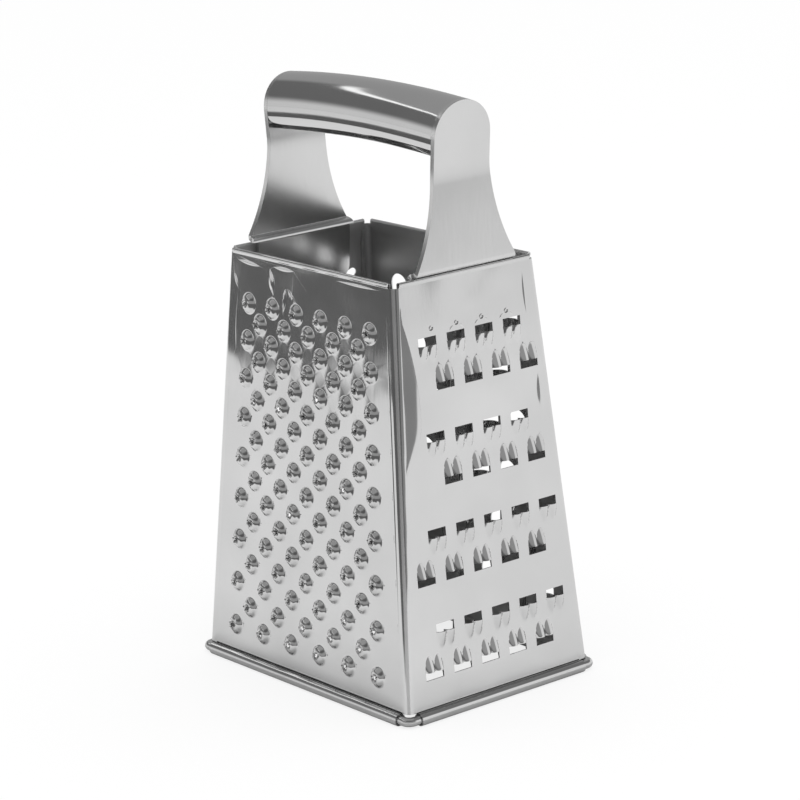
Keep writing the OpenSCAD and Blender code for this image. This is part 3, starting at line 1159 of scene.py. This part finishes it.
class MediumWall(NarrowWall):
    """The wall with medium teeth, in pairs of rows that face away from each other.

    Each band has its count of teeth and the shift of its upper and lower row, in pitches.
    """

    tooth: Scoop = Scoop(
        lobes=2,
        lobe_half=1.95,
        lobe_step=3.9,
        length=5.6,
        proud=1.4,
        slot=2.8,
        arched=False,
        columns=28,
        rows=14,
    )
    bands: tuple[tuple[int, float, float], ...] = (
        (4, 0.0, 0.5),
        (4, 0.0, 0.5),
        (5, 0.25, -0.25),
        (5, 0.25, -0.25),
    )
    first_drop: float = 20.0
    band_pitch: float = 32.4
    band_span: float = 18.5
    tooth_pitch: float = 12.5
    tent_aside: float = 2.3
    tent_drop: float = 18.7
    tent_lean: float = 50.0
    creases: tuple[Crease, ...] = (
        Crease(66.0, 8.4, 0.85, -27.0, 38.0, -3.9, crest=0.88, widest=0.3, flush=True, border=1.25),
        Crease(21.0, 4.2, 0.34, 29.0, 50.0, 3.0, border=1.25),
        Crease(17.0, 1.6, 0.14, 25.4, 12.8, 2.0, border=1.25),
    )

    def tents(self) -> list[Crease]:
        """Lays out the short creases below the welds.

        Returns:
            The creases that run from all welds but the left one to the slots below them.
        """
        made = []
        for weld in spread(self.welds, self.weld_pitch)[1:]:
            for hand in (-1.0, 1.0):
                across, lean = weld + hand * self.tent_aside, hand * self.tent_lean
                made.append(Crease(2.8, 0.9, 0.12, across, self.tent_drop, lean, border=1.25))
        return made

    def press(self, bm: BMesh) -> None:
        """Stamps the weld marks, the creases and the twin-scooped teeth.

        Args:
            bm: The wall's mesh.
        """
        self.press_welds(bm)
        self.crease(bm, (*self.creases, *self.tents()))
        mesh = self.tooth.mesh()
        for band, (count, upper, lower) in enumerate(self.bands):
            down = self.first_drop + band * self.band_pitch
            high = down + self.tooth.slot
            low = down + self.band_span - self.tooth.slot
            for middle in spread(count, 1.0):
                self.stamp(bm, mesh, (middle + upper) * self.tooth_pitch, high, 0.0)
                self.stamp(bm, mesh, (middle + lower) * self.tooth_pitch, low, math.pi)


class SlicerWall(NarrowWall):
    """The wall with curved slicing slots."""

    first_drop: float = 26.0
    row_pitch: float = 41.0
    rows: int = 3

    def press(self, bm: BMesh) -> None:
        """Stamps the weld marks and the slicing blades.

        Args:
            bm: The wall's mesh.
        """
        self.press_welds(bm)
        mesh = SmileBlade().mesh()
        for k in range(self.rows):
            self.stamp(bm, mesh, 0.0, self.first_drop + k * self.row_pitch, 0.0)


@dataclass
class BaseWire:
    """The wire ring inside the rolled edges."""

    sizes: BodySizes
    bend: float = 2.4
    bend_steps: int = 8
    segments: int = 20
    merge: float = 0.001

    def build(self, material: Material) -> None:
        """Builds the ring from a circle that is drawn along the sides and spun round the corners.

        Args:
            material: Its finish.
        """
        sizes = self.sizes
        halves = (sizes.foot_width / 2 + sizes.roll_axis, sizes.foot_depth / 2 + sizes.roll_axis)
        start = Matrix.Translation((0.0, -halves[1], sizes.roll_height))
        bm = bmesh.new()
        bmesh.ops.create_circle(
            bm,
            cap_ends=False,
            segments=self.segments,
            radius=sizes.roll_radius - sizes.sheet - sizes.wire_gap,
            matrix=start @ Matrix.Rotation(math.pi / 2, 4, "Y"),
        )
        rims = bm.edges[:]
        heading = Vector((1.0, 0.0, 0.0))
        for quarter in range(4):
            verts, rims = new_ring(bm, rims)
            bmesh.ops.translate(bm, vec=heading * (halves[quarter % 2] - self.bend), verts=verts)
            middle = sum((v.co for v in verts), Vector()) / len(verts)
            left = Vector((-heading.y, heading.x, 0.0))
            centre = middle + left * self.bend
            axis = Vector((0.0, 0.0, 1.0))
            rims = spin_on(bm, [*rims, *verts], centre, axis, math.pi / 2, self.bend_steps)
            heading = left
            verts, rims = new_ring(bm, rims)
            bmesh.ops.translate(bm, vec=heading * (halves[1 - quarter % 2] - self.bend), verts=verts)
        bmesh.ops.remove_doubles(bm, verts=bm.verts, dist=self.merge)
        bmesh.ops.recalc_face_normals(bm, faces=bm.faces)
        finish_piece(bm, "base_wire_ring", "base_wire", material, WIRE_SMOOTH)


@dataclass
class HandleLeg:
    """A leg: one plate, cut flat, rounded along its edges and bent to shape."""

    sizes: BodySizes
    side: Side
    name: str
    node: str
    thickness: float = 1.8
    foot_width: float = 45.0
    head_radius: float = 12.185
    flare_radius: float = 68.0
    straight: float = 27.5
    head_rise: float = 8.9
    lean: float = math.radians(2.6)
    head_lean: float = math.radians(5.0)
    tab_drop: float = 19.0
    tab_width: float = 41.0
    tab_corner: float = 4.0
    joggle_radius: float = 1.1
    joggle_turn: float = math.radians(80.0)
    joggle_run: float = 1.1
    waist_radius: float = 50.0
    seat_gap: float = 0.1
    edge_round: float = 0.42
    columns: int = 10
    rows: tuple[int, ...] = (5, 10, 2, 10, 14, 10, 4)
    corner_rows: int = 6
    apex_rows: int = 14
    row_least: float = 0.04
    shoulder_step: float = 0.05
    shoulder_end: float = 0.02
    merge: float = 0.01

    def stretches(self) -> list[Pair]:
        """Lays out the plate from the tab up.

        Returns:
            Its stretches, as (length, turn to the left).
        """
        rise = self.joggle_turn + self.lean - self.sizes.narrow.lean
        settle = self.lean + self.head_lean
        return [
            (self.tab_drop - 2.0 * self.seat_gap, 0.0),
            (self.joggle_radius * self.joggle_turn, -self.joggle_turn),
            (self.joggle_run, 0.0),
            (self.joggle_radius * rise, rise),
            (self.straight, 0.0),
            (self.waist_radius * settle, -settle),
            (self.head_rise + self.head_radius, 0.0),
        ]

    def run_to(self, stretch: int) -> float:
        """Distance along the plate to the start of a stretch."""
        return sum(span for span, _ in self.stretches()[:stretch])

    @property
    def shoulder(self) -> float:
        """Distance along the plate at which it widens from the tab to the foot."""
        return self.run_to(1) + 2.0 * self.seat_gap

    def at(self, run: float) -> Triple:
        """Middle line of the plate.

        Args:
            run: Distance along it from the end of the tab.

        Returns:
            The place out from the wall, the place up the wall and the heading.
        """
        out = -(2.0 * self.sizes.sheet + self.seat_gap + self.thickness / 2)
        up = self.sizes.length(self.sizes.narrow) - self.tab_drop
        heading = math.pi / 2
        for span, turn in self.stretches():
            part = min(span, run)
            swing = turn * part / span
            if turn:
                radius = span / turn
                out += radius * (math.sin(heading + swing) - math.sin(heading))
                up += radius * (math.cos(heading) - math.cos(heading + swing))
            else:
                out += part * math.cos(heading)
                up += part * math.sin(heading)
            heading += swing
            run -= part
            if run <= 0.0:
                break
        return out, up, heading

    def stations(self) -> list[float]:
        """Spaces the rows of points.

        Returns:
            Their distances along the plate.
        """
        steps = self.corner_rows
        rows = [self.tab_corner * (1.0 - math.cos(math.pi / 2 * k / steps)) for k in range(steps + 1)]
        for place, ((span, _), count) in enumerate(zip(self.stretches(), self.rows)):
            rows.extend(self.run_to(place) + span * k / count for k in range(count + 1))
        rows.extend((self.shoulder, self.shoulder + self.shoulder_step))
        for k in range(self.apex_rows + 1):
            short = 1.0 - math.sin(math.pi / 2 * k / self.apex_rows)
            rows.append(self.run_to(7) - self.head_radius * short)
        rows = sorted(round(row, 4) for row in rows if row >= 0.0)
        kept = [rows[0]]
        for row in rows[1:]:
            if row - kept[-1] > self.row_least:
                kept.append(row)
        return kept

    def half_at(self, run: float) -> float:
        """Half the plate's width.

        Args:
            run: Distance along the plate.

        Returns:
            Half its width there.
        """
        if run < self.shoulder + self.shoulder_end:
            short = max(0.0, self.tab_corner - run)
            rounding = math.sqrt(max(0.0, self.tab_corner**2 - short**2))
            return self.tab_width / 2 - self.tab_corner + rounding
        over = run - (self.run_to(7) - self.head_radius)
        if over > 0.0:
            return math.sqrt(max(0.0, self.head_radius**2 - over**2))
        below = self.at(self.run_to(6))[1] - self.at(run)[1]
        if below <= 0.0:
            return self.head_radius
        flare = self.flare_radius - math.sqrt(self.flare_radius**2 - min(below, self.flare_radius) ** 2)
        return min(self.foot_width / 2, self.head_radius + flare)

    def build(self, material: Material) -> None:
        """Cuts the blank, rounds its edges and bends it.

        Args:
            material: Its finish.
        """
        rows = self.stations()
        last = len(rows) - 1
        bm = bmesh.new()
        bmesh.ops.create_grid(bm, x_segments=self.columns, y_segments=last, size=0.5)
        for vert in bm.verts:
            row = rows[int(round((vert.co.y + 0.5) * last))]
            vert.co = Vector((vert.co.x * 2.0 * self.half_at(row), row, self.thickness / 2))
        bmesh.ops.remove_doubles(bm, verts=bm.verts, dist=self.merge)
        thicken(bm, next(iter(bm.faces)), Vector((0.0, 0.0, 1.0)), self.thickness)
        soften(bm, self.edge_round, 4)
        for vert in bm.verts:
            out, up, heading = self.at(vert.co.y)
            aside = vert.co.z
            vert.co.y = up - aside * math.cos(heading)
            vert.co.z = out + aside * math.sin(heading)
        stand = self.side.turn @ self.sizes.stand(self.sizes.narrow)
        bmesh.ops.transform(bm, matrix=stand, verts=bm.verts)
        finish_piece(bm, self.name, self.node, material, PLATE_SMOOTH)


@dataclass
class Grip:
    """The hollow grip: a pressed shell and the strip that closes it."""

    leg: HandleLeg
    wall: float = 0.8
    belly: float = 7.4
    side: float = 1.5
    strip_gap: float = 0.03
    edge_round: float = 0.12
    steps: int = 28
    arc_steps: int = 40
    corner_steps: int = 10

    @property
    def end(self) -> Pair:
        """Finds where the grip ends.

        Returns:
            X and Z of the middle of the leg head's inner face.
        """
        leg = self.leg
        out, up, heading = leg.at(leg.run_to(6) + leg.head_rise)
        out -= leg.thickness / 2 * math.sin(heading)
        up += leg.thickness / 2 * math.cos(heading)
        tilt = leg.sizes.narrow.lean
        across = leg.sizes.foot_width / 2 + out * math.cos(tilt) - up * math.sin(tilt)
        return across, leg.sizes.foot_height + up * math.cos(tilt) + out * math.sin(tilt)

    def _sweep(self, points: list[Pair], outer: float) -> BMesh:
        """Sweeps an open section along the grip's arc and gives it its wall.

        Args:
            points: The section as (across, up) from its middle.
            outer: Sign of the outer face's normal along Z, at its highest face.

        Returns:
            The closed mesh.
        """
        end_x, end_z = self.end
        turn = self.leg.head_lean
        radius = end_x / math.sin(turn)
        centre = Vector((0.0, 0.0, end_z - radius * math.cos(turn)))
        bm = bmesh.new()
        chain = [bm.verts.new((0.0, across, centre.z + radius + up)) for across, up in points]
        edges = [bm.edges.new(pair) for pair in zip(chain, chain[1:])]
        bmesh.ops.rotate(bm, cent=centre, matrix=Matrix.Rotation(-turn, 3, "Y"), verts=bm.verts)
        spin_on(bm, [*edges, *chain], centre, Vector((0.0, 1.0, 0.0)), 2.0 * turn, self.steps)
        highest = max(bm.faces, key=lambda f: f.calc_center_median().z)
        thicken(bm, highest, Vector((0.0, 0.0, outer)), self.wall)
        soften(bm, self.edge_round, 2)
        return bm

    def build(self, material: Material) -> None:
        """Builds the shell and the strip.

        Args:
            material: Their finish.
        """
        radius = self.leg.head_radius
        corner = self.belly - self.side
        flat = radius - corner
        turns = [math.pi * k / self.arc_steps for k in range(self.arc_steps + 1)]
        arc = [(radius * math.cos(turn), radius * math.sin(turn)) for turn in turns]
        left = []
        for k in range(self.corner_steps + 1):
            turn = math.pi + math.pi / 2 * k / self.corner_steps
            left.append((-flat + corner * math.cos(turn), -self.side + corner * math.sin(turn)))
        right = [(-across, up) for across, up in reversed(left)]
        shell = self._sweep([*right, *arc, *left], 1.0)
        half = flat - self.strip_gap
        strip = self._sweep([(-half, -self.belly), (0.0, -self.belly), (half, -self.belly)], -1.0)
        finish_piece(shell, "grip_upper_shell", "grip_shell", material, PLATE_SMOOTH)
        finish_piece(strip, "grip_underside", "grip_strip", material, PLATE_SMOOTH)


@dataclass
class Studio:
    """Floor, light and camera. Lengths are in metres.

    Reflections see a white sheet under the object, dark room past its left and front edges, and
    soft boxes overhead. Everything else sees plain white. The camera's distance is in wall
    heights, and its focal length and shifts are in pixels of the photograph.
    """

    sheet_left: float = 0.69
    sheet_front: float = 0.33
    paper: float = 0.93
    dark: float = 0.14
    front: float = 0.3
    # painted contact shadow: how bright reflections see the floor right by the foot
    painted_contact_shadow: float = 0.62
    room: float = 0.42
    paper_white: float = 0.8
    floor_half: float = 6.0
    floor_drop: float = 0.00005
    leftwards: Triple = (-0.76, -0.65, 0.0)
    frontwards: Triple = (0.774, -0.633, 0.0)
    backwards: Triple = (0.62, 0.78, 0.0)
    lamp_size: float = 1.6
    lamp_watts: float = 4.0
    lamp_place: Triple = (0.2, 0.1, 1.3)
    lamp_aim: Triple = (0.0, 0.0, 0.1)
    lens: float = 145.6
    azimuth: float = math.radians(50.72)
    elevation: float = math.radians(15.07)
    roll: float = math.radians(-2.27)
    wall_height: float = 0.145
    ground: float = 0.0043
    distance: float = 7.8055
    focal: float = 3236.05
    shift_right: float = 12.1481
    shift_up: float = 51.5729

    def build(self) -> None:
        """Builds the floor, the surroundings, the lamps and the camera."""
        self._floor()
        self._surroundings()
        self._lamps()
        self._camera()

    @staticmethod
    def _gap_to_foot(shader: Shader, place: Socket) -> Socket:
        """Distance of a place on the floor from the object's foot.

        Args:
            shader: The floor's nodes.
            place: The place on the floor.

        Returns:
            Its distance along X or Y, whichever is more.
        """
        foot = (CAD_HIGH[0], CAD_HIGH[1], 0.0)
        gap = shader.node("VectorMath", {0: shader.folded(place), 1: foot}, operation="SUBTRACT")
        parts = shader.node("SeparateXYZ", {"Vector": gap.outputs["Vector"]}).outputs
        return shader.calculate("MAXIMUM", parts["X"], parts["Y"])

    def _floor_pattern(self, shader: Shader, place: Socket) -> Socket:
        """Colour of the floor as reflections see it.

        Args:
            shader: The floor's nodes.
            place: The place on the floor.

        Returns:
            White paper with dark room past its left and front edges, a dark patch a little way in front,
            and a painted contact shadow round the object's foot.
        """
        leftwards = shader.along(place, self.leftwards)
        frontwards = shader.along(place, self.frontwards)
        towards = shader.along(place, (0.0, -1.0, 0.0))
        left, front = self.sheet_left, self.sheet_front
        dark = Band(left - 0.03, left + 0.03, self.dark)
        pattern = shader.steps(leftwards, self.paper, [dark, Band(left + 0.45, left + 0.6, self.paper)])
        pattern = shader.steps(frontwards, pattern, [Band(front, front + 0.06, self.front)])
        close = shader.steps(frontwards, pattern, [Band(0.1, 0.15, self.dark)])
        pattern = shader.steps(towards, pattern, [Band(0.11, 0.2, close)])
        # Painted contact shadow: reflections see the floor darker within 2 cm of the foot.
        painted_contact_shadow = shader.steps(self._gap_to_foot(shader, place), self.painted_contact_shadow, [Band(0.0, 0.02, 1.0)])
        return shader.calculate("MULTIPLY", pattern, painted_contact_shadow)

    def _floor(self) -> None:
        """Lays the pale floor."""
        bm = bmesh.new()
        bmesh.ops.create_grid(bm, x_segments=1, y_segments=1, size=self.floor_half)
        mesh = to_mesh(bm, "floor")
        floor = add_object("floor", mesh)
        floor.location = (0.0, 0.0, -self.floor_drop)
        made = bpy.data.materials.new("pale_sheet")
        made.use_nodes = True
        made.node_tree.nodes.clear()
        shader = Shader(made.node_tree)
        pattern = self._floor_pattern(shader, shader.node("NewGeometry", {}).outputs["Position"])
        diffuse = shader.node("BsdfDiffuse", {"Color": shader.for_reflections(self.paper, pattern)})
        seen = shader.node("LightPath", {}).outputs["Is Camera Ray"]
        lit = shader.node(
            "MixShader",
            {
                "Fac": shader.calculate("MULTIPLY", seen, self.paper_white),
                1: diffuse.outputs["BSDF"],
                2: shader.node("Emission", {}).outputs["Emission"],
            },
        )
        shader.node("OutputMaterial", {"Surface": lit.outputs["Shader"]})
        mesh.materials.append(made)

    def _surroundings(self) -> None:
        """Lights the scene evenly and gives reflections a room with dark and bright parts."""
        world = bpy.data.worlds.new("studio")
        bpy.context.scene.world = world
        world.use_nodes = True
        world.node_tree.nodes.clear()
        shader = Shader(world.node_tree)
        direction = shader.node("TexCoord", {}).outputs["Generated"]
        height = shader.along(direction, (0.0, 0.0, 1.0))
        boxes = [Band(0.12, 0.34, 0.2), Band(0.615, 0.625, 1.7), Band(0.64, 0.65, self.room)]
        left = shader.steps(height, 0.87, boxes)
        away = shader.steps(height, 1.0, [Band(0.38, 0.52, 0.22)])
        stands = [Band(-0.05, 0.15, self.room), Band(0.42, 0.55, self.dark)]
        ahead = shader.steps(height, self.front, stands)
        backwards = shader.along(direction, self.backwards)
        room = shader.steps(backwards, left, [Band(-0.5, -0.36, self.room), Band(0.25, 0.55, away)])
        pattern = shader.steps(shader.along(direction, self.frontwards), room, [Band(0.3, 0.6, ahead)])
        background = shader.node("Background", {"Color": shader.for_reflections(1.0, pattern)})
        shader.node("OutputWorld", {"Surface": background.outputs["Background"]})

    def _lamps(self) -> None:
        """Hangs one large soft lamp over the object, which reflections don't show."""
        data = bpy.data.lights.new("overhead_softbox", "AREA")
        data.shape = "RECTANGLE"
        data.size = self.lamp_size
        data.size_y = self.lamp_size
        data.energy = self.lamp_watts
        lamp = add_object("overhead_softbox", data)
        lamp.location = self.lamp_place
        aim = Vector(lamp.location) - Vector(self.lamp_aim)
        lamp.rotation_euler = aim.to_track_quat("Z", "Y").to_euler()
        lamp.visible_glossy = False

    def _camera(self) -> None:
        """Sets the camera at the photograph's angle, with its small roll."""
        reach = self.distance * self.wall_height
        a, e = self.azimuth, self.elevation
        back = Vector((math.sin(a) * math.cos(e), -math.cos(a) * math.cos(e), math.sin(e)))
        right = Vector((math.cos(a), math.sin(a), 0.0))
        up = back.cross(right)
        across = right * math.cos(self.roll) + up * math.sin(self.roll)
        upright = up * math.cos(self.roll) - right * math.sin(self.roll)
        data = bpy.data.cameras.new("camera")
        data.lens = self.lens
        data.sensor_width = 36.0
        data.clip_start = 0.05
        data.clip_end = 50.0
        camera = add_object("camera", data)
        aside = across * (self.shift_right / self.focal * reach)
        above = upright * (self.shift_up / self.focal * reach)
        spot = Vector((0.0, 0.0, self.ground + self.wall_height / 2)) + back * reach + aside + above
        turn = Matrix((across, upright, back)).transposed().to_4x4()
        camera.matrix_world = Matrix.Translation(spot) @ turn
        bpy.context.scene.camera = camera


def main() -> None:
    """Builds every piece and the studio."""
    logging.basicConfig(level=logging.INFO, format="%(message)s")
    sheet = SteelFinish("rolled_stainless_sheet", 0.08, wave_depth=6e-4, dull_inside=0.42)
    satin = SteelFinish("satin_stainless_plate", 0.2, roughness_spread=0.05, grain_depth=3e-6)
    polished = SteelFinish("polished_grip", 0.07, tone=0.58, grain=Grain.ALONG_GRIP, smudge=0.02)
    drawn = SteelFinish(
        "drawn_wire",
        0.14,
        roughness_spread=0.04,
        grain=Grain.NONE,
        grain_depth=6e-6,
        wave_length=0.01,
        smudge=0.04,
    )
    sheet_steel = sheet.material()
    leg_steel = satin.material()
    grip_steel = polished.material()
    sizes = BodySizes()
    RaspWall(sizes, Side.FRONT, "rasp_wall_sheet", "rasp_wall").build(sheet_steel)
    CoarseWall(sizes, Side.BACK, "coarse_wall_sheet", "coarse_wall").build(sheet_steel)
    MediumWall(sizes, Side.RIGHT, "medium_wall_sheet", "medium_wall").build(sheet_steel)
    SlicerWall(sizes, Side.LEFT, "slicer_wall_sheet", "slicer_wall").build(sheet_steel)
    BaseWire(sizes).build(drawn.material())
    right = HandleLeg(sizes, Side.RIGHT, "right_leg_plate", "handle_leg_right")
    right.build(leg_steel)
    HandleLeg(sizes, Side.LEFT, "left_leg_plate", "handle_leg_left").build(leg_steel)
    Grip(right).build(grip_steel)
    Studio().build()
    bpy.context.scene.view_settings.view_transform = "Standard"


if __name__ == "__main__":
    main()
